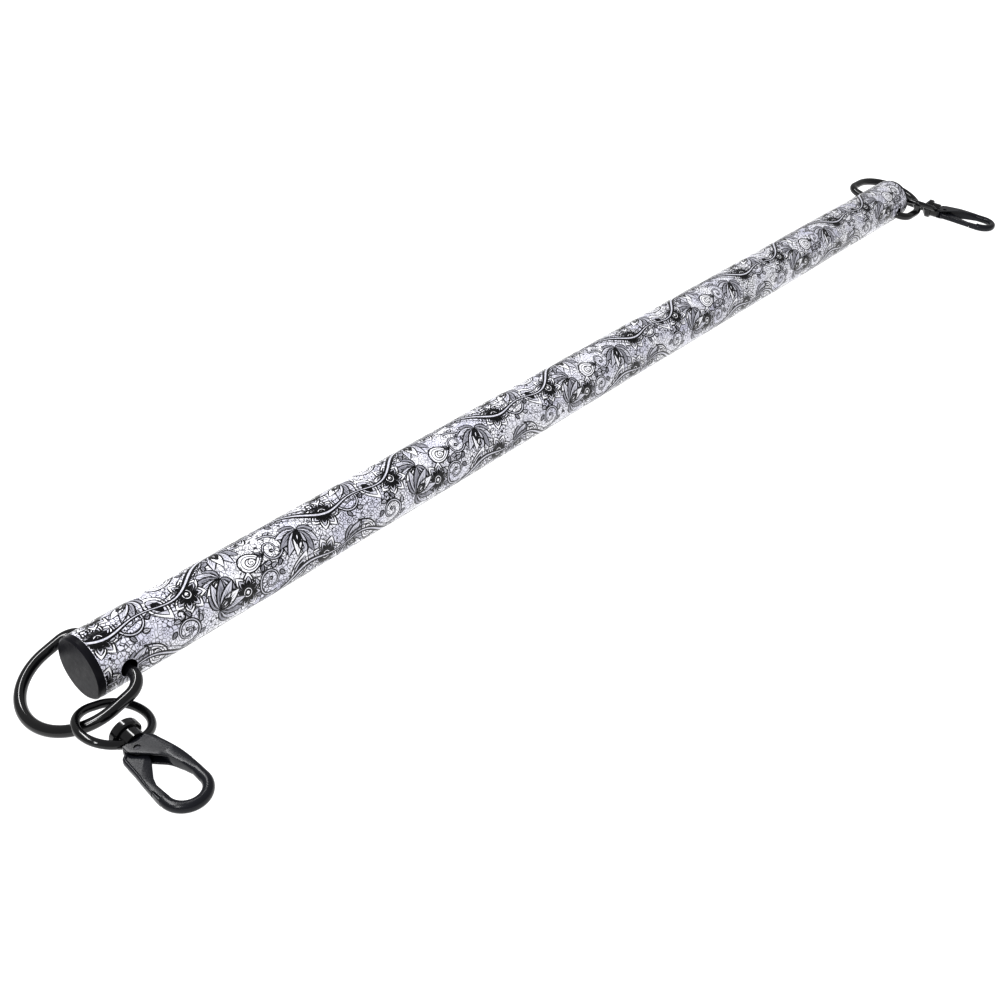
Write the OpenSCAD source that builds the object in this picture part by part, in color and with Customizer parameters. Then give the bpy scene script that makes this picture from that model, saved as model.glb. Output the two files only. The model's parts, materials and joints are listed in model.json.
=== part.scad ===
// Spreader bar: a straight tube in a printed film sleeve, with a plug cap at each end,
// a D-ring through each end of the tube, and a swivel snap hook on each D-ring.
// +X runs along the tube and +Z is up. The origin is under the middle of the tube,
// on the surface that the bar lies on. Both hooks lie towards -Y.

/* [Bar] */
// Length over the two end caps
bar_len = 620; // [300:10:900]
// Outside diameter of the bare tube
tube_od = 25; // [25:0.1:27]
// Wall thickness of the tube
tube_wall = 1.5; // [1:0.1:2]
// Thickness of the printed film round the tube
film_t = 0.2; // [0.1:0.05:0.3]
// Length of film that laps onto each cap
film_lap = 1.2; // [0.4:0.1:2]

/* [End caps] */
// Thickness of the cap's head outside the tube
cap_head = 4; // [3:0.5:5]
// Chamfer round the head's outer edge
cap_edge = 0.7; // [0.2:0.1:1.2]
// Length of the hollow plug inside the tube
cap_plug = 4.6; // [3:0.2:5]
// Wall thickness of the plug
plug_wall = 1.8; // [1:0.2:3]

/* [D-rings] */
// Diameter of the ring's wire
ring_wire = 4.5; // [3.5:0.1:5]
// Clear width inside the ring
ring_inner = 38; // [36:0.5:42]
// Distance from the straight bar to the middle of the round end
ring_reach = 35; // [32:0.5:40]
// Centreline radius of the ring's two corners
ring_corner = 7.2; // [6:0.2:9]
// Gap between the wire's two ends, inside the tube
ring_split = 0.6; // [0.2:0.1:2]
// Diameter of the cross holes in the tube
cross_hole = 7; // [6:0.1:8]
// Distance from the cap's face to the middle of the cross hole
ring_inset = 12.6; // [12.4:0.1:16]

/* [Swivel eyes] */
// Length of the oval eye along the hook, between wire centrelines
eye_len = 23; // [22:0.2:24.6]
// Width of the oval eye, between wire centrelines
eye_width = 26; // [25:0.2:30]
// Diameter of the eye's wire
eye_wire = 3.2; // [2.6:0.1:3.6]
// Diameter of the bored boss in the eye
boss_od = 8.6; // [7:0.2:10]
// Diameter of the stud's head
head_od = 11.4; // [9:0.2:12]
// Diameter of the stud's post
post_d = 4.2; // [3.4:0.1:4.6]

/* [Snap hooks] */
// Distance from the eye's boss to the middle of the hook's round nose
nose_at = 29.1; // [28:0.1:34]
// Outside radius of the round nose
nose_r = 9.6; // [9:0.1:10.5]
// Diameter of the nose's round section
nose_wire = 4.1; // [3.4:0.1:4.6]
// Thickness of the hook over its two ears
hook_t = 5.4; // [5:0.2:6.4]
// Thickness of the gate
gate_t = 2.8; // [2.4:0.1:3]
// Diameter of the gate's pin
pin_d = 2.4; // [2:0.1:2.6]
// Diameter of the gate spring's wire
spring_wire = 0.4; // [0.3:0.05:0.45]

/* [Resting pose, left end] */
// Turn of the left cross hole about the tube
left_roll = 2; // [0:1:20]
// Droop of the left D-ring below the tube's line
left_droop = 15.6; // [0:0.1:17]
// Slide of the left D-ring across the tube, along its own straight bar
left_slide = 0; // [-5:0.1:5]
// Turn of the left D-ring's bar within its loose hole
left_turn = 0; // [0:0.1:1.5]
// Middle of the left eye's boss: out past the cap, across, and up
left_eye_at = [4.46, -36.73, 4.79];
// Heading of the left hook, nose first, from +X towards +Y
left_heading = 268.1; // [255:0.1:285]
// Slope of the left hook, nose down
left_slope = 4.05; // [0:0.05:8]
// Tilt of the left eye about the hook's line
left_eye_tilt = -16.8; // [-30:0.1:0]

/* [Resting pose, right end] */
// Turn of the right cross hole about the tube
right_roll = 14.5; // [0:0.1:20]
// Droop of the right D-ring below the tube's line
right_droop = 1; // [0:0.1:17]
// Slide of the right D-ring across the tube, along its own straight bar
right_slide = 3; // [-5:0.1:5]
// Turn of the right D-ring's bar within its loose hole
right_turn = 0; // [0:0.1:1.5]
// Middle of the right eye's boss: out past the cap, across, and up
right_eye_at = [18.05, -25.23, 6.17];
// Heading of the right hook, nose first, from +X towards +Y
right_heading = 280; // [255:0.1:285]
// Slope of the right hook, nose down
right_slope = 6.22; // [0:0.01:8]
// Tilt of the right eye about the hook's line
right_eye_tilt = -25.2; // [-30:0.1:0]

/* [Hidden] */
$fn = 64;

black_metal = "#17181b";
satin_black = "#2b2c31";
black_plastic = "#1e1e22";
steel = "#b9bbc0";
lace_white = "#e6e4ec";

half_len = bar_len / 2;
tube_half = half_len - cap_head;
tube_r = tube_od / 2;
tube_ir = tube_r - tube_wall;
axis_z = tube_r + film_t;
overcut = 1;

// The plug's two gripping ribs, and how far its hollow runs on into the head
rib_h = 0.15;
rib_w = 0.8;
plug_sink = 1;

// The D-ring's bar lies low in its oversize hole, with a little room under it
wire_room = 0.3;
ring_drop = (cross_hole - ring_wire) / 2 - wire_room;
ring_half = (ring_inner + ring_wire) / 2;
ring_arc_at = ring_reach - ring_half;
bar_half = ring_half - ring_corner;

// The oval eye is two half circles joined by two short straight lengths
eye_half = eye_len / 2;
eye_side_at = eye_width / 2 - eye_half;

// The boss stands further out on the head's side, to carry the head clear of the oval
boss_back = 2.8;
boss_front = 1.75;
running_gap = 0.05;
end_gap = 0.15;
head_dome = [[0, 5.4], [2.4, 5.2], [3.7, 4.5]];
head_shoulder = 2.9;
head_edge = 0.6;
head_at = -boss_back - end_gap;
base_at = boss_front + end_gap;
tail_d = 3;
tail_len = 1;

// Points in the hook's own plane are [along the hook, across it]
ear_t = 1;
slot_half = hook_t / 2 - ear_t;
pin_at = [5.4, -1.8];
heel_r = 2.1;
pin_sunk = 0.5;
pin_len = hook_t - 2 * pin_sunk;

// The pin and the stud's tail are drawn with this much room all round
press_gap = 0.02;
nose_c = nose_r - nose_wire / 2;
nose_end = -96;
nose_start = 94;
flat_in = 0.15;
arm_edge = [[1.95, 3.7], [3.7, 5.6], [9.3, 6.9], [15.8, 8.4], [22, 9.2], [nose_at, nose_r - flat_in]];
arm_inner = [[nose_at, nose_r - nose_wire + flat_in], [24, 6.1], [19.4, 4.9]];
ear_inner = [[15.7, 3.6], [10.7, -0.3], [6.4, -4.2], [4.7, -5.3], [1.95, -5.5]];
core_inner = [[15.7, 3.9], [9.6, 3.2], [3.05, 3], [3.05, -5.5], [1.95, -5.5]];
gate_outer = [[3.5, -3.2], [3.6, -5.6], [4.7, -7.4], [7, -8.2], [10.5, -8.2], [17.1, -8.8], [23.4, -9.4]];
gate_tip = [[23.7, -8.05], [26.9, -8.05], [26.9, -5.6]];
gate_inner = [[22, -5.7], [18.8, -4.8], [15, -2.6], [12.1, -0.9], [8, 0.1], [5.4, 0.29]];
lip = [[24.2, -8.5], [24.2, -9.55], [28.8, -9.5], [28.8, -8.2]];
lip_half = 1.5;
taper_from = 17;
taper_to = nose_at - 3;

// The torsion spring is wound round the gate's pin, beside the gate's half-thickness heel
coil_room = 0.2;
coil_r = pin_d / 2 + spring_wire / 2 + coil_room;
coil_turns = 2.25;
coil_pitch = spring_wire * 1.05;
coil_low = 0.45;
coil_steps = 36;
leg_len = 1.5;
well_r = 2.7;
wire_sides = 6;

function arc_point(c, r, a) = [c[0] + r * cos(a), c[1] + r * sin(a)];

function unit(v) = v / norm(v);

// The spring's centreline: a short leg, the coil, and a second short leg
function coil_point(i) =
    let (a = -90 - 360 * coil_turns * i / coil_steps)
    [coil_r * cos(a), coil_r * sin(a), coil_low + coil_pitch * coil_turns * i / coil_steps];
coil = [for (i = [0:coil_steps]) coil_point(i)];
coil_exit = unit(coil[coil_steps] - coil[coil_steps - 1]);
spring_path = concat(
    [coil[0] + [leg_len, 0, 0]],
    coil,
    [coil[coil_steps] + [coil_exit[0], coil_exit[1], 0] * leg_len]
);

// A round wire swept along a list of points
module swept_wire(path, d, sides) {
    n = len(path);
    ahead = [for (i = [0:n - 1]) unit(path[min(i + 1, n - 1)] - path[max(i - 1, 0)])];
    side = [for (t = ahead) unit(cross(t, [0, 0, 1]))];
    points = [for (i = [0:n - 1]) for (k = [0:sides - 1])
        let (a = 360 * k / sides, up = cross(side[i], ahead[i]))
        path[i] + (side[i] * cos(a) + up * sin(a)) * d / 2];
    walls = [for (i = [0:n - 2]) for (k = [0:sides - 1])
        let (k2 = (k + 1) % sides)
        [i * sides + k, i * sides + k2, (i + 1) * sides + k2, (i + 1) * sides + k]];
    first = [for (k = [sides - 1:-1:0]) k];
    last = [for (k = [0:sides - 1]) (n - 1) * sides + k];
    polyhedron(points, concat([first], walls, [last]), convexity = 6);
}

module along_x(from, len, r) {
    translate([from, 0, 0]) rotate([0, 90, 0]) cylinder(r = r, h = len);
}

// Part of a torus in the XY plane, from one angle through a turn
module torus_arc(r, wire_d, from, turn) {
    rotate([0, 0, from]) rotate_extrude(angle = turn) translate([r, 0]) circle(d = wire_d);
}

module pipe(half, r_out, r_in) {
    difference() {
        along_x(-half, 2 * half, r_out);
        along_x(-half - overcut, 2 * (half + overcut), r_in);
    }
}

module cross_drill(side, roll) {
    translate([side * (half_len - ring_inset), 0, 0])
        rotate([90 + roll, 0, 0])
        cylinder(d = cross_hole, h = 2 * tube_od, center = true);
}

module drilled_pipe(half, r_out, r_in) {
    translate([0, 0, axis_z]) difference() {
        pipe(half, r_out, r_in);
        cross_drill(-1, left_roll);
        cross_drill(1, right_roll);
    }
}

module tube() {
    color(steel) drilled_pipe(tube_half, tube_r, tube_ir);
}

module film_sleeve() {
    color(lace_white) drilled_pipe(tube_half + film_lap, tube_r + film_t, tube_r);
}

// The cap's outline, turned about its axis: a solid head and a hollow plug with two ribs
module end_cap(side) {
    plug_r = tube_ir - rib_h;
    plug_end = cap_head + cap_plug;
    hollow_at = cap_head - plug_sink;
    color(black_plastic)
    translate([side * half_len, 0, axis_z]) rotate([0, -90 * side, 0])
    rotate_extrude() polygon([
        [0, 0], [tube_r - cap_edge, 0], [tube_r, cap_edge], [tube_r, cap_head],
        [tube_ir, cap_head], [tube_ir, cap_head + rib_w], [plug_r, cap_head + rib_w],
        [plug_r, plug_end - 2 * rib_w], [tube_ir, plug_end - rib_w], [plug_r, plug_end],
        [plug_r - plug_wall, plug_end], [plug_r - plug_wall, hollow_at], [0, hollow_at]
    ]);
}

// The D-ring lies in the XY plane, with its straight bar on the Y axis
module d_ring() {
    bar_len_half = bar_half - ring_split / 2;
    color(black_metal) union() {
        for (s = [-1, 1]) {
            translate([0, s * (ring_split + bar_len_half) / 2, 0])
                rotate([90, 0, 0])
                cylinder(d = ring_wire, h = bar_len_half, center = true);
            translate([ring_corner, s * bar_half, 0])
                torus_arc(ring_corner, ring_wire, s > 0 ? 90 : 180, 90);
            translate([0, s * ring_half, 0])
                along_x(ring_corner, ring_arc_at - ring_corner, ring_wire / 2);
        }
        translate([ring_arc_at, 0, 0]) torus_arc(ring_half, ring_wire, -90, 180);
    }
}

module at_ring(side, roll, slide, turn, droop) {
    translate([side * (half_len - ring_inset), 0, axis_z])
        rotate([roll, 0, 0])
        translate([0, slide, -ring_drop])
        rotate([0, 0, (side > 0 ? 0 : 180) + turn])
        rotate([0, droop, 0])
        children();
}

// The hook's line is the X axis: the eye is behind the origin and the nose ahead of it
module at_hook(side, at, heading, slope, tilt) {
    translate([side * (half_len + at[0]), at[1], at[2]])
        rotate([tilt, slope, heading])
        children();
}

module eye() {
    color(black_metal) difference() {
        union() {
            translate([-eye_half, 0, 0]) for (s = [-1, 1]) {
                translate([0, s * eye_side_at, 0])
                    torus_arc(eye_half, eye_wire, s > 0 ? 0 : 180, 180);
                translate([s * eye_half, 0, 0]) rotate([90, 0, 0])
                    cylinder(d = eye_wire, h = 2 * eye_side_at, center = true);
            }
            along_x(-boss_back, boss_back + boss_front, boss_od / 2);
        }
        along_x(-boss_back - overcut, boss_back + boss_front + 2 * overcut,
            post_d / 2 + running_gap);
    }
}

// A domed head inside the eye, a post through its boss, and a tail set in the hook
module stud() {
    r = head_od / 2;
    dome = [for (p = head_dome) [p[0], head_at - p[1]]];
    color(black_metal) rotate([0, 90, 0]) rotate_extrude() polygon(concat(dome, [
        [r, head_at - head_shoulder], [r, head_at - head_edge], [r - head_edge, head_at],
        [post_d / 2, head_at], [post_d / 2, base_at],
        [tail_d / 2, base_at], [tail_d / 2, base_at + tail_len], [0, base_at + tail_len]
    ]));
}

module plate(points, low, high) {
    translate([0, 0, low]) linear_extrude(height = high - low) polygon(points);
}

// The hook's flat part thins towards the nose, between two sloping planes
module thinning() {
    t = hook_t / 2;
    w = nose_wire / 2 - flat_in;
    rotate([90, 0, 0]) linear_extrude(height = 4 * nose_r, center = true) polygon([
        [0, -t], [taper_from, -t], [taper_to, -w], [nose_at + overcut, -w],
        [nose_at + overcut, w], [taper_to, w], [taper_from, t], [0, t]
    ]);
}

module hook() {
    color(satin_black) difference() {
        union() {
            intersection() {
                union() {
                    plate(concat(arm_edge, arm_inner, ear_inner), slot_half, hook_t / 2);
                    plate(concat(arm_edge, arm_inner, core_inner), -slot_half, slot_half);
                    plate(concat(arm_edge, arm_inner, ear_inner), -hook_t / 2, -slot_half);
                }
                thinning();
            }
            translate([nose_at, 0, 0])
                torus_arc(nose_c, nose_wire, nose_end, nose_start - nose_end);
            plate(lip, -lip_half, lip_half);
        }
        translate([pin_at[0], pin_at[1], 0])
            cylinder(d = pin_d + 2 * press_gap, h = 2 * hook_t, center = true);
        along_x(0, pin_at[0] - heel_r, tail_d / 2 + press_gap);
    }
}

// The gate's heel is cut to half thickness to leave a round well for the spring
module gate() {
    color(satin_black) difference() {
        union() {
            plate(concat(gate_outer, gate_tip, gate_inner), -gate_t / 2, gate_t / 2);
            translate([pin_at[0], pin_at[1], -gate_t / 2]) cylinder(r = heel_r, h = gate_t);
        }
        translate([pin_at[0], pin_at[1], 0]) {
            cylinder(d = pin_d + 2 * running_gap, h = 2 * gate_t, center = true);
            cylinder(r = well_r, h = gate_t);
        }
    }
}

module gate_pin() {
    color(steel) translate([pin_at[0], pin_at[1], 0])
        cylinder(d = pin_d, h = pin_len, center = true);
}

module gate_spring() {
    color(steel) translate([pin_at[0], pin_at[1], 0])
        swept_wire(spring_path, spring_wire, wire_sides);
}

module at_left_eye(tilt) {
    at_hook(-1, left_eye_at, left_heading, left_slope, tilt) children();
}

module at_right_eye(tilt) {
    at_hook(1, right_eye_at, right_heading, right_slope, tilt) children();
}

module left_end_cap() { end_cap(-1); }
module right_end_cap() { end_cap(1); }
module left_d_ring() { at_ring(-1, left_roll, left_slide, left_turn, left_droop) d_ring(); }
module right_d_ring() { at_ring(1, right_roll, right_slide, right_turn, right_droop) d_ring(); }
module left_eye() { at_left_eye(left_eye_tilt) eye(); }
module right_eye() { at_right_eye(right_eye_tilt) eye(); }
module left_stud() { at_left_eye(0) stud(); }
module right_stud() { at_right_eye(0) stud(); }
module left_hook() { at_left_eye(0) hook(); }
module right_hook() { at_right_eye(0) hook(); }
module left_gate() { at_left_eye(0) gate(); }
module right_gate() { at_right_eye(0) gate(); }
module left_gate_pin() { at_left_eye(0) gate_pin(); }
module right_gate_pin() { at_right_eye(0) gate_pin(); }
module left_gate_spring() { at_left_eye(0) gate_spring(); }
module right_gate_spring() { at_right_eye(0) gate_spring(); }

tube();
film_sleeve();
left_end_cap();
right_end_cap();
left_d_ring();
right_d_ring();
left_eye();
right_eye();
left_stud();
right_stud();
left_hook();
right_hook();
left_gate();
right_gate();
left_gate_pin();
right_gate_pin();
left_gate_spring();
right_gate_spring();
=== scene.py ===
"""Spreader bar: the looks of a printed tube with D-rings and swivel snap hooks. Metres, +Z up."""

import json
import math

import bmesh
import bpy
import numpy as np
from mathutils import Matrix, Vector


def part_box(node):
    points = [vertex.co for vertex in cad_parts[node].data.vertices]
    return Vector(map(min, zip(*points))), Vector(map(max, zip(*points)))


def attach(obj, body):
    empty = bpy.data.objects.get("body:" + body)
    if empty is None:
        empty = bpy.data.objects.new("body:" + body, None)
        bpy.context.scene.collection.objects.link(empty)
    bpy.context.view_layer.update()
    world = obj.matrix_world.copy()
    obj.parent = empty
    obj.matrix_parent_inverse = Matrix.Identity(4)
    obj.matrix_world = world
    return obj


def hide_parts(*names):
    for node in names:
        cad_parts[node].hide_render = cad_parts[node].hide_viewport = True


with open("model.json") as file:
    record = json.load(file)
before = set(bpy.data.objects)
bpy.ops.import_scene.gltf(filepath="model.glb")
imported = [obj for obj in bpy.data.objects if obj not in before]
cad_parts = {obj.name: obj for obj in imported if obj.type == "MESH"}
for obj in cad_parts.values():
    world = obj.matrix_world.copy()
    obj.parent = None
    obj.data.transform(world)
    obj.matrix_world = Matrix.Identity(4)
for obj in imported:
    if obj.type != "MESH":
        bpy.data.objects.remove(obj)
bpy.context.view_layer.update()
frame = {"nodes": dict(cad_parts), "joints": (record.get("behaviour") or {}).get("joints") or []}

MM = 0.001
SIDES = ("left", "right")


# ---------------------------------------------------------------- sizes, from the frame

sleeve_low, sleeve_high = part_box("film_sleeve")
SLEEVE_R = (sleeve_high.z - sleeve_low.z) / 2
AXIS_Z = (sleeve_high.z + sleeve_low.z) / 2
SLEEVE_HALF = sleeve_high.x
CROSS_HOLE_R = 3.5 * MM     # the D-ring's holes through the film, as in the CAD
JOINTS = {joint["name"]: joint for joint in frame["joints"]}


# ---------------------------------------------------------------- materials

class Shader:
    """A node material with short calls for the few nodes that the finishes here need."""

    def __init__(self, name):
        self.mat = bpy.data.materials.new(name)
        self.mat.use_nodes = True
        self.tree = self.mat.node_tree
        self.bsdf = self.tree.nodes["Principled BSDF"]
        self.coords = self.tree.nodes.new("ShaderNodeTexCoord").outputs["Object"]

    def node(self, kind, **inputs):
        made = self.tree.nodes.new(kind)
        for name, value in inputs.items():
            self.feed(made.inputs[name.replace("_", " ")], value)
        return made

    def feed(self, socket, value):
        if isinstance(value, bpy.types.NodeSocket):
            self.tree.links.new(value, socket)
        else:
            socket.default_value = value

    def noise(self, scale, detail=3.0, stretch=(1, 1, 1)):
        place = self.node("ShaderNodeMapping", Vector=self.coords, Scale=stretch)
        made = self.node("ShaderNodeTexNoise", Vector=place.outputs["Vector"], Scale=scale, Detail=detail)
        return made.outputs["Fac"]

    def ramp(self, source, stops):
        made = self.node("ShaderNodeValToRGB", Fac=source)
        ramp = made.color_ramp
        while len(ramp.elements) < len(stops):
            ramp.elements.new(0.5)
        for element, (at, colour) in zip(ramp.elements, stops):
            element.position = at
            element.color = (*colour, 1)
        return made.outputs["Color"]

    def grey_ramp(self, source, low, high, start=0.3, end=0.7):
        return self.ramp(source, [(start, (low,) * 3), (end, (high,) * 3)])

    def bump(self, height, strength, distance):
        made = self.node("ShaderNodeBump", Height=height, Strength=strength, Distance=distance)
        self.feed(self.bsdf.inputs["Normal"], made.outputs["Normal"])

    def set(self, **inputs):
        for name, value in inputs.items():
            self.feed(self.bsdf.inputs[name.replace("_", " ")], value)
        return self.mat


def plated_black(name, dark, light, rough, bump, shine):
    """Black plating over metal: faint cloudy tone, fine orange-peel, small roughness changes."""
    shader = Shader(name)
    cloud = shader.noise(90, 4)
    grain = shader.noise(420, 1)
    shader.bump(grain, bump, 0.04 * MM)
    return shader.set(
        Base_Color=shader.ramp(cloud, [(0.3, dark), (0.7, light)]),
        Roughness=shader.grey_ramp(shader.noise(240, 3), *rough),
        Specular_IOR_Level=shine,
    )


def cap_plastic():
    shader = Shader("cap plastic")
    grain = shader.noise(1500, 3)
    shader.bump(grain, 0.35, 0.06 * MM)
    cloud = shader.noise(60, 4)
    return shader.set(
        Base_Color=shader.ramp(cloud, [(0.3, (0.006, 0.006, 0.008)), (0.7, (0.013, 0.013, 0.017))]),
        Roughness=shader.grey_ramp(shader.noise(400, 3), 0.26, 0.38),
        Specular_IOR_Level=0.08,
    )


def bare_steel():
    shader = Shader("dark oiled steel")
    lines = shader.noise(900, 2, stretch=(1, 8, 8))
    shader.bump(lines, 0.2, 0.03 * MM)
    return shader.set(
        Base_Color=shader.ramp(lines, [(0.3, (0.03, 0.03, 0.033)), (0.7, (0.06, 0.06, 0.066))]),
        Metallic=1.0,
        Roughness=shader.grey_ramp(shader.noise(500, 2), 0.28, 0.42),
    )


NET_SCALE = 620.0           # cells of the film's net along a metre
MIX_FACTOR, MIX_A, MIX_B, MIX_COLOUR = 0, 6, 7, 2       # sockets of a Mix node that mixes colours
CLEAR_GLOSS = {"Specular_IOR_Level": 0.25, "Coat_Weight": 0.12, "Coat_Roughness": 0.05}


def gloss_roughness(shader):
    """The film's slightly uneven gloss, the same over the ground and over the ink."""
    return shader.grey_ramp(shader.noise(90, 3), 0.10, 0.20)


def film_ground():
    """The pearl ground of the film: a fine crackled net with dots at its middles, on soft cloudy white."""
    shader = Shader("lace film ground")
    net = shader.node("ShaderNodeTexVoronoi", Vector=shader.coords, Scale=NET_SCALE)
    net.feature = "DISTANCE_TO_EDGE"
    lines = shader.grey_ramp(net.outputs["Distance"], 1.0, 0.0, 0.04, 0.10)
    dots = shader.node("ShaderNodeTexVoronoi", Vector=shader.coords, Scale=NET_SCALE)
    specks = shader.grey_ramp(dots.outputs["Distance"], 1.0, 0.0, 0.14, 0.20)
    faint = shader.grey_ramp(shader.noise(150, 2), 0.55, 1.0, 0.40, 0.58)
    net_ink = shader.node("ShaderNodeMath", Value=lines)
    net_ink.operation = "MULTIPLY"
    shader.feed(net_ink.inputs[1], faint)
    ink = shader.node("ShaderNodeMath", Value=net_ink.outputs["Value"])
    ink.operation = "MAXIMUM"
    shader.feed(ink.inputs[1], specks)
    pearl = shader.ramp(shader.noise(70, 4), [(0.3, (0.64, 0.64, 0.76)), (0.6, (0.88, 0.88, 0.92))])
    mix = shader.node("ShaderNodeMix")
    mix.data_type = "RGBA"
    shader.feed(mix.inputs[MIX_FACTOR], ink.outputs["Value"])
    shader.feed(mix.inputs[MIX_A], pearl)
    shader.feed(mix.inputs[MIX_B], (0.03, 0.03, 0.04, 1))
    shader.bump(shader.noise(120, 2), 0.08, 0.2 * MM)
    return shader.set(Base_Color=mix.outputs[MIX_COLOUR], Roughness=gloss_roughness(shader), **CLEAR_GLOSS)


def ink(name, dark, light):
    """One tone of the print, under the same clear gloss as the ground."""
    shader = Shader(name)
    tone = shader.ramp(shader.noise(900, 3), [(0.3, dark), (0.7, light)])
    return shader.set(Base_Color=tone, Roughness=gloss_roughness(shader), **CLEAR_GLOSS)


def floor_white():
    """A white floor: most of its white is its own glow, so that shadows on it stay faint."""
    shader = Shader("studio floor")
    return shader.set(
        Base_Color=shader.grey_ramp(shader.noise(3, 3), 0.24, 0.27),
        Roughness=0.9,
        Specular_IOR_Level=0.1,
        Emission_Color=(1, 1, 1, 1),
        Emission_Strength=0.86,
    )


GLOSS_BLACK = plated_black("gloss black plating", dark=(0.002, 0.002, 0.0025), light=(0.004, 0.004, 0.005),
                           rough=(0.10, 0.14), bump=0.02, shine=0.60)
HOOK_BLACK = plated_black("satin black plating", dark=(0.007, 0.0075, 0.011), light=(0.012, 0.013, 0.018),
                          rough=(0.22, 0.27), bump=0.03, shine=0.32)
CAP = cap_plastic()
STEEL = bare_steel()
GROUND = film_ground()
INKS = {
    "black": ink("ink black", (0.003, 0.003, 0.004), (0.010, 0.010, 0.012)),
    "dark": ink("ink dark grey", (0.03, 0.03, 0.035), (0.06, 0.06, 0.07)),
    "mid": ink("ink mid grey", (0.24, 0.24, 0.28), (0.42, 0.42, 0.47)),
    "pale": ink("ink pale grey", (0.50, 0.50, 0.57), (0.72, 0.72, 0.78)),
    "white": ink("ink white", (0.84, 0.84, 0.90), (0.94, 0.94, 0.96)),
}
TONES = list(INKS)


def dress(node, material):
    """Gives a CAD node one of the finishes above."""
    shown = frame["nodes"][node]
    shown.data.materials.clear()
    shown.data.materials.append(material)


# ---------------------------------------------------------------- the lace print

# Lengths in this section are in mm

FILM_R = SLEEVE_R / MM
ROUND = 2 * math.pi * FILM_R
TILE = 105.0                # the print repeats along the tube every tile
TILE_SHIFT = -15.0          # where a tile starts, from the middle of the tube
END_BARE = 0.25             # film without ink at each end
HOLE_BARE = 0.35            # film without ink round each cross hole
INK_LIFT = 0.006            # height of ink layer 1 above the film
LAYER = 0.002               # between one ink layer and the next
DEPTH = 12                  # layers that one motif may use, so that neighbours never share one
STEP = 0.6                  # longest stretch of stroke between two cross sections
STRIP = 0.9                 # widest face across a stroke
LINE = 0.62                 # width of a petal's outline
VEIN = 0.24                 # width of a petal's vein
PEARL = 0.32                # radius of the dots along an eye leaf
COLUMNS, ROWS = 8, 6        # motifs along one tile and round the tube, both even so that layers never meet
KINDS = ("lotus", "rosette", "scroll", "eye_leaf", "rosette", "lotus", "paisley", "scroll")
SIZES = {"lotus": 11.5, "rosette": 7.8, "scroll": 6.8, "eye_leaf": 7.4, "paisley": 5.8}
GOLDEN = 2.399              # turn between one motif's heading and the next, so that none lines up
JITTER = (0.12, 0.14)       # how far a motif strays from its grid place, as a share of one column and row
VINES = 3
VINE_SWING = 6.5
VINE_WIDTH = 2.1
VINE_PHASE = 2.1            # turn between one vine's wave and the next


def heading_of(turn):
    return np.array([math.cos(turn), math.sin(turn)])


def rim_of(turn):
    return np.stack([np.cos(turn), np.sin(turn)], 1)


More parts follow.
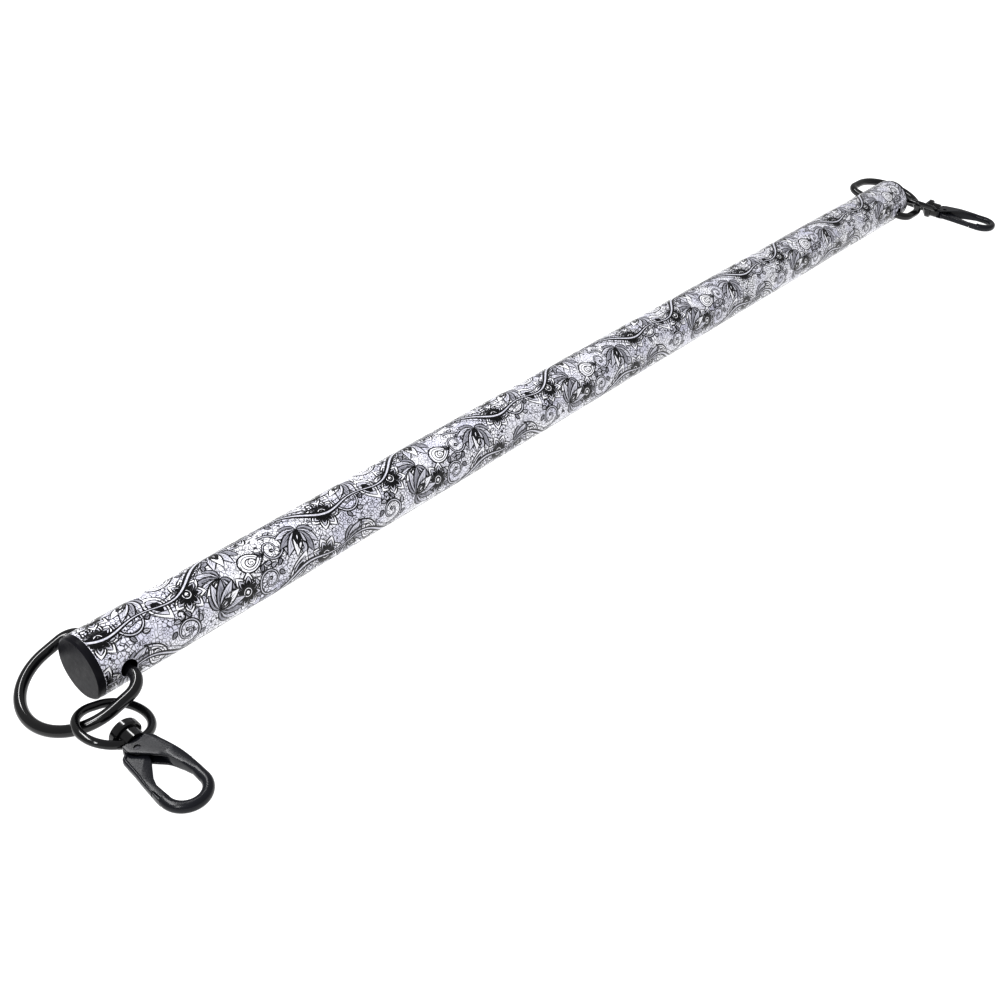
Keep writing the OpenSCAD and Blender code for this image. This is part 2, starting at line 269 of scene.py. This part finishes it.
class Print:
    """Ink strokes: u runs along the tube and v round it, from the top towards +Y."""

    def __init__(self):
        self.strokes = []
        self.base = 0

    def ribbon(self, points, widths, tone, layer):
        """A stroke along points, whose full width changes as widths says from its start to its end."""
        points = np.asarray(points, float)
        along = np.concatenate([[0], np.cumsum(np.hypot(*np.diff(points, axis=0).T))])
        count = max(3, int(math.ceil(along[-1] / STEP)) + 1)
        at = np.linspace(0, along[-1], count)
        line = np.stack([np.interp(at, along, points[:, k]) for k in (0, 1)], 1)
        widths = np.atleast_1d(np.asarray(widths, float))
        wide = np.interp(np.linspace(0, 1, count), np.linspace(0, 1, len(widths)), widths)
        ahead = np.gradient(line, axis=0)
        ahead /= np.hypot(*ahead.T)[:, None] + 1e-9
        across = np.stack([-ahead[:, 1], ahead[:, 0]], 1)
        columns = max(1, int(math.ceil(wide.max() / STRIP)))
        shift = np.linspace(-0.5, 0.5, columns + 1)
        grid = line[:, None, :] + across[:, None, :] * (wide[:, None] * shift[None, :])[..., None]
        self.strokes.append((grid, tone, self.base + layer))

    def curve(self, points, width, tone="black", layer=3, taper=True):
        """A line of one width, or one that thins towards both ends."""
        profile = [0.35, 0.85, 1, 1, 0.8, 0.3] if taper else [1, 1]
        self.ribbon(points, np.array(profile) * width, tone, layer)

    def circle(self, middle, radius, width, tone="black", layer=3):
        turn = np.linspace(0, 2 * math.pi, max(14, int(radius * 9)))
        self.curve(middle + radius * rim_of(turn), width, tone, layer, False)

    def dot(self, middle, radius, tone="black", layer=4):
        """A small round spot: one short stroke as wide as the circle at each place."""
        reach = np.linspace(-1, 1, 7)
        points = np.array(middle) + np.stack([reach * radius, 0 * reach], 1)
        self.ribbon(points, 2 * radius * np.sqrt(np.clip(1 - reach ** 2, 0.02, 1)), tone, layer)

    def leaf(self, base, heading, length, width, fill="pale", bend=0.0, veins=3, layer=2):
        """A pointed petal with a filled middle, an outline on each side, and veins from its base."""
        t = np.linspace(0, 1, 15)
        turn = heading + bend * t
        spine = np.array(base) + length * np.stack([
            np.concatenate([[0], np.cumsum(np.cos(turn[:-1]))]) / 14,
            np.concatenate([[0], np.cumsum(np.sin(turn[:-1]))]) / 14], 1)
        half = width / 2 * np.sin(math.pi * t ** 0.8) ** 0.9
        self.ribbon(spine, 2 * half, fill, layer)
        normal = np.stack([-np.sin(turn), np.cos(turn)], 1)
        for side in (-1, 1):
            self.curve(spine + side * half[:, None] * normal, LINE, "black", layer + 1)
        for k in range(veins):
            from_middle = k - (veins - 1) / 2
            offset = from_middle / veins * 1.1
            stop = 10 if from_middle else 12
            self.curve((spine + (offset * half)[:, None] * normal)[1:stop], VEIN, "dark", layer + 1)

    def spiral(self, middle, start_r, end_r, start, turns, width, tone="black", layer=3):
        """A curl that winds in and thins, with a dot at its end."""
        t = np.linspace(0, 1, int(26 * abs(turns)) + 6)
        turn = start + 2 * math.pi * turns * t
        radius = start_r + (end_r - start_r) * t ** 0.8
        points = np.array(middle) + radius[:, None] * rim_of(turn)
        self.ribbon(points, np.array([1, 0.9, 0.75, 0.5]) * width, tone, layer)
        self.dot(points[-1], width * 0.55, tone, layer)

    def lotus(self, middle, heading, size):
        """A wide bloom: a fan of shaded petals, the middle ones on top, and a dark drop for a heart."""
        middle = np.array(middle)
        layer = 0
        petals = ((1.8, 0.66, "mid"), (1.3, 0.9, "pale"), (0.85, 1.0, "mid"), (0.42, 1.05, "pale"))
        for turn, long, fill in petals:
            for side in (-1, 1):
                self.leaf(middle, heading + side * turn, size * long, size * 0.33, fill,
                          -0.25 * side * turn, 3, layer)
                layer += 1
        self.leaf(middle, heading, size * 0.95, size * 0.36, "white", 0, 3, layer)
        self.leaf(middle, heading, size * 0.55, size * 0.27, "black", 0, 0, layer + 1)
        self.leaf(middle + size * 0.14 * heading_of(heading), heading, size * 0.26, size * 0.1,
                  "white", 0, 0, layer + 2)

    def rosette(self, middle, heading, size, petals=8):
        """Pointed petals in double outline round a dark heart, with a dot in every gap."""
        middle = np.array(middle)
        for k in range(petals):
            turn = heading + 2 * math.pi * k / petals
            ahead = heading_of(turn)
            lift = k % 2
            self.leaf(middle + 0.26 * size * ahead, turn, 0.74 * size, 0.56 * size, "white", 0, 0, lift)
            self.leaf(middle + 0.30 * size * ahead, turn, 0.50 * size, 0.34 * size, "pale", 0, 1, lift + 3)
            self.leaf(middle + 0.34 * size * ahead, turn, 0.26 * size, 0.15 * size, "black", 0, 0, lift + 5)
            self.dot(middle + size * heading_of(turn + math.pi / petals), 0.4, "black", 8)
        self.disc(middle, size * 0.32, "black", 8)
        self.circle(middle, size * 0.22, 0.3, "white", 9)
        self.dot(middle, size * 0.1, "white", 9)

    def eye_leaf(self, middle, heading, size):
        """A pointed leaf in three outlines with a dark middle, a row of dots, and a curl at one end."""
        ahead = heading_of(heading)
        side = np.array([-ahead[1], ahead[0]])
        middle = np.array(middle)
        for scale, fill, veins, layer in ((1.0, "white", 0, 0), (0.7, "pale", 3, 2), (0.38, "black", 0, 4)):
            self.leaf(middle - scale * size * ahead, heading, 2 * scale * size, 1.05 * scale * size,
                      fill, 0, veins, layer)
        self.dot(middle, size * 0.09, "white", 7)
        for k in range(-4, 5):
            reach = 0.78 - 0.03 * k * k
            for way in (-1, 1):
                self.dot(middle + size * (0.2 * k * ahead + way * reach * side), PEARL, "black", 7)
        self.spiral(middle + 1.15 * size * ahead + 0.3 * size * side, size * 0.4, size * 0.08,
                    heading - 2, 1.2, 0.8, "black", 8)

    def scroll(self, middle, heading, size, way=1):
        """A thick curl with a light core and leaves that fan off its outside."""
        for k in range(6):
            turn = heading + way * (0.5 + 0.85 * k)
            foot = np.array(middle) + size * (0.95 - 0.05 * k) * heading_of(turn)
            self.leaf(foot, turn + 0.9 * way, size * 0.5, size * 0.26, "mid" if k % 2 else "pale",
                      0.5 * way, 1, k % 2)
        self.spiral(middle, size, size * 0.14, heading, way * 1.6, size * 0.24, "black", 4)
        self.spiral(middle, size, size * 0.14, heading, way * 1.6, size * 0.07, "pale", 5)

    def disc(self, middle, radius, tone, layer):
        """A filled circle, made of rings that overlap a little."""
        rings = max(2, int(radius / 0.8))
        rim = rim_of(np.linspace(0, 2 * math.pi, int(radius * 9) + 8))
        for k in range(rings):
            mid = radius * (k + 0.5) / rings
            self.ribbon(np.array(middle) + mid * rim, radius / rings * 1.04, tone, layer)

    def paisley(self, middle, heading, size, fill="white"):
        """A curled drop with an inner drop, a spiral heart, and a dotted edge."""
        middle = np.array(middle)
        t = np.linspace(0, 1, 40)
        for scale, width, tone in ((1.0, 0.6, "black"), (0.72, 0.32, "dark"), (0.44, 0.45, "black")):
            turn = 2 * math.pi * t
            fat = np.sin(math.pi * t) ** 0.9
            bulge = np.stack([np.cos(turn) * (0.35 + 0.65 * fat) + 0.75 * (1 - fat) ** 2,
                              np.sin(turn) * fat * 0.85 + 0.5 * (1 - fat) ** 3], 1) * size * scale
            cos, sin = heading_of(heading)
            points = middle + bulge @ np.array([[cos, sin], [-sin, cos]])
            if scale == 1.0:
                self.disc(middle - 0.12 * size * np.array([cos, sin]), size * 0.72, fill, 1)
                for k in range(2, 38, 3):
                    out = points[k] - middle
                    self.dot(middle + out * 1.16, 0.24)
            self.curve(points, width, tone, 3, False)
        self.spiral(middle, size * 0.34, size * 0.06, heading, 1.4, 0.42)

    def vine(self, level, swing, phase, width):
        """A ribbed stem that waves along the tile, with a row of dots on each side."""
        steps = 180
        u = np.linspace(0, TILE, steps)
        wave = phase + 2 * math.pi * u / TILE
        path = np.stack([u, level + swing * np.sin(wave) + 0.35 * swing * np.sin(3 * wave)], 1)
        slope = np.gradient(path, axis=0)
        slope /= np.hypot(*slope.T)[:, None]
        normal = np.stack([-slope[:, 1], slope[:, 0]], 1)
        swell = 1 + 0.45 * np.sin(2 * wave + 1)
        self.ribbon(path, width * swell, "black", 3)
        self.ribbon(path, width * 0.3 * swell, "pale", 4)
        for side in (-1, 1):
            edge = path + side * (width * 0.5 * swell + 0.85)[:, None] * normal
            for k in range(2, steps, 4):
                self.dot(edge[k], 0.26 if k % 8 else 0.38)
            hem = path + side * (width * 0.5 * swell + 1.5)[:, None] * normal
            self.ribbon(hem, 0.26, "dark", 3)


def lace_tile():
    """The motifs of one tile: a staggered grid of large ones, with stems that wave over them."""
    page = Print()
    for row in range(ROWS):
        for column in range(COLUMNS):
            order = 3 * row + column
            page.base = DEPTH * (column % 2 + 2 * (row % 2))
            middle = ((column + 0.5 * (row % 2) + JITTER[0] * math.sin(5 * order)) * TILE / COLUMNS,
                      -ROUND / 2 + (row + 0.5 + JITTER[1] * math.cos(7 * order)) * ROUND / ROWS)
            kind = KINDS[(order + row // 2) % len(KINDS)]
            heading, size = GOLDEN * order, SIZES[kind]
            if kind == "lotus":
                page.lotus(middle, heading, size)
            elif kind == "rosette":
                page.rosette(middle, heading, size)
            elif kind == "scroll":
                page.scroll(middle, heading, size, 1 if order % 2 else -1)
            elif kind == "eye_leaf":
                page.eye_leaf(middle, heading, size)
            else:
                page.paisley(middle, heading, size)
    page.base = 4 * DEPTH
    for band in range(VINES):
        page.vine(ROUND * ((band + 0.5) / VINES - 0.5), VINE_SWING, VINE_PHASE * band, VINE_WIDTH)
    return page


def lay_on_tube(page, holes):
    """Wraps the tile round the sleeve and repeats it along the tube, leaving the holes bare."""
    verts, normals, faces, tones = [], [], [], []
    half = SLEEVE_HALF / MM - END_BARE
    first = int(math.floor(-half / TILE)) - 1
    last = int(math.ceil(half / TILE)) + 1
    total = 0
    for repeat in range(first, last):
        for grid, tone, layer in page.strokes:
            u = grid[..., 0] + repeat * TILE + TILE_SHIFT
            if u.max() < -half or u.min() > half:
                continue
            turn = grid[..., 1] / FILM_R
            radius = FILM_R + INK_LIFT + LAYER * (layer - 1)
            out = np.stack([0 * turn, np.sin(turn), np.cos(turn)], -1)
            place = radius * out
            place[..., 0] = u
            rows, columns = u.shape
            index = total + np.arange(rows * columns).reshape(rows, columns)
            quads = np.stack([index[:-1, :-1], index[:-1, 1:], index[1:, 1:], index[1:, :-1]], -1)
            middle = (place[:-1, :-1] + place[1:, 1:]) / 2
            keep = np.abs(middle[..., 0]) < half
            for hole in holes:
                away = middle - hole
                keep &= (away ** 2).sum(-1) > (CROSS_HOLE_R / MM + HOLE_BARE) ** 2
            facing = np.cross(place[1:, :-1] - place[:-1, :-1], place[:-1, 1:] - place[:-1, :-1])
            inward = (facing * out[:-1, :-1]).sum(-1) > 0
            quads[inward] = quads[inward][:, ::-1]
            faces.append(quads[keep])
            tones.append(np.full(int(keep.sum()), TONES.index(tone)))
            verts.append(place.reshape(-1, 3))
            normals.append(out.reshape(-1, 3))
            total += rows * columns
    verts, normals = np.concatenate(verts), np.concatenate(normals)
    faces, tones = np.concatenate(faces), np.concatenate(tones)
    used = np.unique(faces)
    renumber = np.zeros(total, int)
    renumber[used] = np.arange(len(used))
    place = verts[used] * MM + np.array([0, 0, AXIS_Z])
    return place, normals[used], renumber[faces], tones


def hole_middles():
    """Where the cross holes break the sleeve's surface, in mm about the tube's axis."""
    found = []
    for side in SIDES:
        joint = JOINTS[side + "_ring_swing"]
        for way in (-1, 1):
            spot = way * np.array(joint["axis"], float) * FILM_R
            spot[0] = joint["pos_m"][0] / MM
            found.append(spot)
    return found


def print_mesh():
    """The lace print as one mesh of open strips, whose smooth normals are the tube's own."""
    place, normals, faces, tones = lay_on_tube(lace_tile(), hole_middles())
    mesh = bpy.data.meshes.new("lace_print")
    mesh.from_pydata(place.tolist(), [], faces.tolist())
    for tone in TONES:
        mesh.materials.append(INKS[tone])
    mesh.polygons.foreach_set("material_index", tones.astype(np.int32))
    mesh.polygons.foreach_set("use_smooth", np.ones(len(faces), bool))
    mesh.normals_split_custom_set_from_vertices(normals.tolist())
    mesh.update()
    shown = bpy.data.objects.new("lace_print", mesh)
    bpy.context.collection.objects.link(shown)
    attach(shown, "bar")
    return shown


# ---------------------------------------------------------------- the hook and its gate

# Lengths in this section are in mm. A point is (along the hook, across it) from the swivel's place, and
# the first number grows towards the nose. Thickness runs along the gate's hinge.

HOOK_T = 5.4                # the arm, and from the face of one cheek to the face of the other
EAR_T = 1.0                 # one cheek
EDGE_FADE = 0.6             # how far a cheek's outer face moves in towards its end
BASE_NEAR, BASE_FAR = 1.95, 3.05        # the block at the stud's end
BASE_SIDES = (3.3, -5.3)
BASE_T = 3.5
NOSE_AT = (29.1, 0.0)
NOSE_OUT = 9.6
NOSE_IN = 5.5
NOSE_T = 4.1
NOSE_FROM, NOSE_TO = 92, -97            # the nose's sweep, in degrees
LIP_T = 3.0
LIP_OUTER = [(28.6, -9.55), (26.5, -9.5), (24.2, -9.3)]
LIP_INNER = [(28.6, -8.3), (26.5, -8.4), (24.2, -8.6)]
ARM_OUTER = [(1.95, 3.5), (3.9, 5.5), (9.3, 6.9), (15.8, 8.35), (22.0, 9.15), (26.0, 9.5)]
ARM_INNER = [(1.95, 2.9), (5.0, 3.0), (9.6, 3.2), (15.7, 3.9), (20.0, 5.0), (25.0, 5.9)]
EAR_OUTER = [(1.95, 3.3), (3.9, 5.4), (7.5, 6.4), (12.0, 7.5), (16.5, 8.4), (21.0, 8.9)]
EAR_INNER = [(1.95, -5.4), (5.0, -5.2), (8.0, -2.7), (11.5, 0.4), (15.7, 3.6), (20.5, 5.3)]
GATE_OUTLINE = [(3.7, -3.2), (3.9, -5.6), (5.0, -7.2), (9.0, -7.6), (23.0, -8.8), (23.6, -8.15),
                (27.85, -8.15), (28.15, -5.65), (22.0, -5.9), (18.8, -4.9), (15.0, -2.7), (12.1, -1.0),
                (8.0, 0.0), (5.4, 0.2)]
GATE_T = 1.9
RAIL = [(4.4, -5.0), (5.6, -7.0), (8.5, -7.45), (13.0, -7.75), (18.0, -8.35), (23.9, -8.95)]
RAIL_T = 2.8
RAIL_HALF = 0.78            # half the rail's width at its start
PIN_AT = (5.4, -1.8)
PIN_HOLE = 1.22             # radius of the pin's hole in the cheeks
PIN_PLAY = 0.03             # more radius in the gate's own hole, so that it turns
HEEL_R = 2.1
HEEL_LOW, HEEL_HIGH = -1.38, 0.6
WELL_R = 2.7                # room for the spring round the pin, on one half of the gate's thickness
PAST = 4.0                  # how far a cutter reaches, past both faces of any piece
SHARP = math.radians(50)    # edges that turn more than this stay sharp


def smooth(points, count):
    """A Catmull-Rom curve through the points, in even steps of their own length."""
    points = np.asarray(points, float)
    ends = np.vstack([2 * points[0] - points[1], points, 2 * points[-1] - points[-2]])
    fine = []
    for k in range(1, len(ends) - 2):
        t = np.linspace(0, 1, 20, endpoint=False)[:, None]
        a, b, c, d = ends[k - 1:k + 3]
        fine.append(0.5 * (2 * b + (c - a) * t + (2 * a - 5 * b + 4 * c - d) * t ** 2
                           + (3 * b - a - 3 * c + d) * t ** 3))
    fine = np.vstack(fine + [points[-1:]])
    along = np.concatenate([[0], np.cumsum(np.hypot(*np.diff(fine, axis=0).T))])
    at = np.linspace(0, along[-1], count)
    return np.stack([np.interp(at, along, fine[:, k]) for k in (0, 1)], 1)


def loft(outer, inner, low, high, square, sides=28):
    """A closed bar between two edge curves, from low to high: round at square 2, boxier above that."""
    count = len(outer)
    low, high, square = (np.broadcast_to(np.asarray(v, float), (count,)) for v in (low, high, square))
    turn = 2 * math.pi * np.arange(sides) / sides
    verts = []
    for k in range(count):
        power = 2 / square[k]
        x = np.sign(np.cos(turn)) * np.abs(np.cos(turn)) ** power
        z = np.sign(np.sin(turn)) * np.abs(np.sin(turn)) ** power
        middle, half = (outer[k] + inner[k]) / 2, (outer[k] - inner[k]) / 2
        plane = middle + x[:, None] * half
        height = (high[k] + low[k]) / 2 + z * (high[k] - low[k]) / 2
        verts += [(*p, h) for p, h in zip(plane, height)]
    faces = []
    for k in range(count - 1):
        for j in range(sides):
            nxt = (j + 1) % sides
            faces.append((k * sides + j, k * sides + nxt, (k + 1) * sides + nxt, (k + 1) * sides + j))
    faces.append(tuple(range(sides))[::-1])
    faces.append(tuple((count - 1) * sides + j for j in range(sides)))
    return verts, faces


def arm_and_nose():
    """The full-thickness arm, which rounds off into the nose's wire and runs on to the gate's tip."""
    arm_steps, nose_steps = 30, 40
    rim = rim_of(np.radians(np.linspace(NOSE_FROM, NOSE_TO, nose_steps)))
    outer = np.vstack([smooth(ARM_OUTER, arm_steps), np.array(NOSE_AT) + NOSE_OUT * rim])
    inner = np.vstack([smooth(ARM_INNER, arm_steps), np.array(NOSE_AT) + NOSE_IN * rim])
    along = np.linspace(0, 1, arm_steps)
    fade = np.clip((along - 0.5) / 0.5, 0, 1)
    half = np.concatenate([HOOK_T / 2 - (HOOK_T - NOSE_T) / 2 * fade, np.full(nose_steps, NOSE_T / 2)])
    square = np.concatenate([8 - 5.4 * fade, np.full(nose_steps, 2.2)])
    return loft(outer, inner, -half, half, square)


def ear(side):
    """One of the two cheeks that hold the gate's pin."""
    steps = 34
    fade = np.clip((np.linspace(0, 1, steps) - 0.6) / 0.4, 0, 1)
    high = HOOK_T / 2 - EDGE_FADE * fade
    low = HOOK_T / 2 - EAR_T - 0.2 * fade
    bounds = (low, high) if side > 0 else (-high, -low)
    return loft(smooth(EAR_OUTER, steps), smooth(EAR_INNER, steps), *bounds, 9)


def base_block():
    """The block across the stud's end, which joins the arm and the two cheeks."""
    outer, inner = (np.array([(BASE_NEAR, across), (BASE_FAR, across)]) for across in BASE_SIDES)
    return loft(outer, inner, -BASE_T / 2, BASE_T / 2, 9)


def lip():
    """The thin outside lip that the gate's tip shuts against."""
    return loft(smooth(LIP_OUTER, 10), smooth(LIP_INNER, 10), -LIP_T / 2, LIP_T / 2, 4)


def plate(outline, low, high, edge):
    """A flat piece with all its edges rounded over."""
    made = bmesh.new()
    made.faces.new([made.verts.new((x, y, low)) for x, y in outline])
    lifted = bmesh.ops.extrude_face_region(made, geom=made.faces[:])
    tops = [v for v in lifted["geom"] if isinstance(v, bmesh.types.BMVert)]
    bmesh.ops.translate(made, verts=tops, vec=(0, 0, high - low))
    bmesh.ops.recalc_face_normals(made, faces=made.faces[:])
    bmesh.ops.bevel(made, geom=made.edges[:], offset=edge, segments=3, profile=0.6, affect="EDGES")
    verts = [tuple(v.co) for v in made.verts]
    made.verts.index_update()
    faces = [tuple(v.index for v in f.verts) for f in made.faces]
    made.free()
    return verts, faces


def gate_rail():
    """The raised, rounded rail along the gate's outside edge."""
    steps = 30
    middle = smooth(RAIL, steps)
    ahead = np.gradient(middle, axis=0)
    ahead /= np.hypot(*ahead.T)[:, None]
    across = np.stack([-ahead[:, 1], ahead[:, 0]], 1)
    half = RAIL_HALF * (1 - 0.45 * np.linspace(0, 1, steps) ** 2)[:, None]
    return loft(middle - across * half, middle + across * half, -RAIL_T / 2, RAIL_T / 2, 2.6, 20)


def gate_heel():
    """The round heel that turns on the pin."""
    turn = np.linspace(0, 2 * math.pi, 30, endpoint=False)
    return (np.array(PIN_AT) + HEEL_R * rim_of(turn)).tolist()


def hook_place(side):
    """The hook's own axes, from its swivel and its gate's hinge."""
    swivel, hinge = JOINTS[side + "_swivel"], JOINTS[side + "_gate_hinge"]
    along, up = Vector(swivel["axis"]).normalized(), Vector(hinge["axis"]).normalized()
    across = up.cross(along)
    place = Matrix((along, across, up)).transposed().to_4x4()
    place.translation = Vector(swivel["pos_m"])
    return place @ Matrix.Diagonal((MM, MM, MM, 1))


def built(name, parts, material, place, body, cutters=()):
    """One object from several closed shells, with round holes cut through it."""
    mesh = bpy.data.meshes.new(name)
    verts, faces = [], []
    for part_verts, part_faces in parts:
        faces += [tuple(len(verts) + k for k in face) for face in part_faces]
        verts += part_verts
    mesh.from_pydata(verts, [], faces)
    shown = bpy.data.objects.new(name, mesh)
    bpy.context.collection.objects.link(shown)
    for cut_verts, cut_faces in cutters:
        tool_mesh = bpy.data.meshes.new("cutter")
        tool_mesh.from_pydata(cut_verts, [], cut_faces)
        tool = bpy.data.objects.new("cutter", tool_mesh)
        bpy.context.collection.objects.link(tool)
        cut = shown.modifiers.new("cut", "BOOLEAN")
        cut.object = tool
        cut.use_self = True
        bpy.context.view_layer.update()
        evaluated = shown.evaluated_get(bpy.context.evaluated_depsgraph_get())
        done = bpy.data.meshes.new_from_object(evaluated)
        shown.modifiers.clear()
        shown.data = done
        bpy.data.objects.remove(tool)
    mesh = shown.data
    mesh.transform(place)
    mesh.materials.clear()
    mesh.materials.append(material)
    mesh.shade_smooth()
    mesh.set_sharp_from_angle(angle=SHARP)
    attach(shown, body)
    return shown


def drum(radius, low, high, sides=32):
    """A round cutter on the pin's line."""
    turn = 2 * math.pi * np.arange(sides) / sides
    ring = (np.array(PIN_AT) + radius * rim_of(turn)).tolist()
    verts = [(x, y, low) for x, y in ring] + [(x, y, high) for x, y in ring]
    faces = [(k, (k + 1) % sides, sides + (k + 1) % sides, sides + k) for k in range(sides)]
    return verts, faces + [tuple(range(sides))[::-1], tuple(range(sides, 2 * sides))]


def hook(side):
    shown = built(side + "_hook_casting",
                  [arm_and_nose(), ear(1), ear(-1), base_block(), lip()],
                  HOOK_BLACK, hook_place(side), side + "_snap_hook",
                  [drum(PIN_HOLE, -PAST, PAST)])
    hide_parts(side + "_hook")


def gate(side):
    shown = built(side + "_gate_casting",
                  [plate(GATE_OUTLINE, -GATE_T / 2, GATE_T / 2, 0.3),
                   plate(gate_heel(), HEEL_LOW, HEEL_HIGH, 0.2), gate_rail()],
                  HOOK_BLACK, hook_place(side), side + "_hook_gate",
                  [drum(PIN_HOLE + PIN_PLAY, -PAST, PAST), drum(WELL_R, 0, PAST)])
    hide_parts(side + "_gate")


# ---------------------------------------------------------------- the finishes of the CAD nodes

dress("film_sleeve", GROUND)
dress("tube", STEEL)
for side in SIDES:
    dress(side + "_end_cap", CAP)
    dress(side + "_d_ring", GLOSS_BLACK)
    dress(side + "_eye", GLOSS_BLACK)
    dress(side + "_stud", GLOSS_BLACK)
    hook(side)
    gate(side)
    dress(side + "_gate_pin", STEEL)
    dress(side + "_gate_spring", STEEL)

print_mesh()


# ---------------------------------------------------------------- studio

FLOOR_REACH = 6.0
WORLD_STRENGTH = 0.46
EXPOSURE = 0.34
GAMMA = 0.82
LENS_MM = 45.66             # solved from the photo, with the camera's place and aim
SENSOR_MM = 36
CAMERA_AT = (-0.4692, -0.3352, 0.3094)
CAMERA_YAW = math.radians(40.961)
CAMERA_PITCH = math.radians(-33.5)


def studio_floor():
    mesh = bpy.data.meshes.new("floor")
    corners = [(FLOOR_REACH * x, FLOOR_REACH * y, 0) for x, y in ((-1, -1), (1, -1), (1, 1), (-1, 1))]
    mesh.from_pydata(corners, [], [(0, 1, 2, 3)])
    mesh.materials.append(floor_white())
    floor = bpy.data.objects.new("floor", mesh)
    bpy.context.collection.objects.link(floor)


def softbox(name, place, target, size, power):
    """A rectangular light in watts that faces its target."""
    light = bpy.data.lights.new(name, "AREA")
    light.shape = "RECTANGLE"
    light.size, light.size_y = size
    light.energy = power
    lamp = bpy.data.objects.new(name, light)
    lamp.location = place
    lamp.rotation_euler = (Vector(target) - Vector(place)).to_track_quat("-Z", "Y").to_euler()
    bpy.context.collection.objects.link(lamp)


def studio():
    studio_floor()
    world = bpy.data.worlds.new("studio")
    world.use_nodes = True
    background = world.node_tree.nodes["Background"]
    background.inputs["Color"].default_value = (1, 1, 1, 1)
    background.inputs["Strength"].default_value = WORLD_STRENGTH
    bpy.context.scene.world = world
    softbox("key", (-0.35, 0.45, 1.2), (0, 0, 0), (1.3, 0.2), 12.5)
    softbox("side", (-1.0, -0.35, 0.9), (-0.25, 0, 0), (0.14, 0.7), 4)
    view = bpy.context.scene.view_settings
    view.view_transform = "Standard"
    view.exposure = EXPOSURE
    view.gamma = GAMMA


def camera():
    """The photograph's viewpoint: above and outside the left end, looking along the bar."""
    data = bpy.data.cameras.new("camera")
    data.lens = LENS_MM
    data.sensor_width = SENSOR_MM
    level = math.cos(CAMERA_PITCH)
    ahead = Vector((level * math.cos(CAMERA_YAW), level * math.sin(CAMERA_YAW), math.sin(CAMERA_PITCH)))
    shot = bpy.data.objects.new("camera", data)
    shot.location = CAMERA_AT
    shot.rotation_euler = ahead.to_track_quat("-Z", "Y").to_euler()
    bpy.context.collection.objects.link(shot)
    bpy.context.scene.camera = shot


studio()
camera()
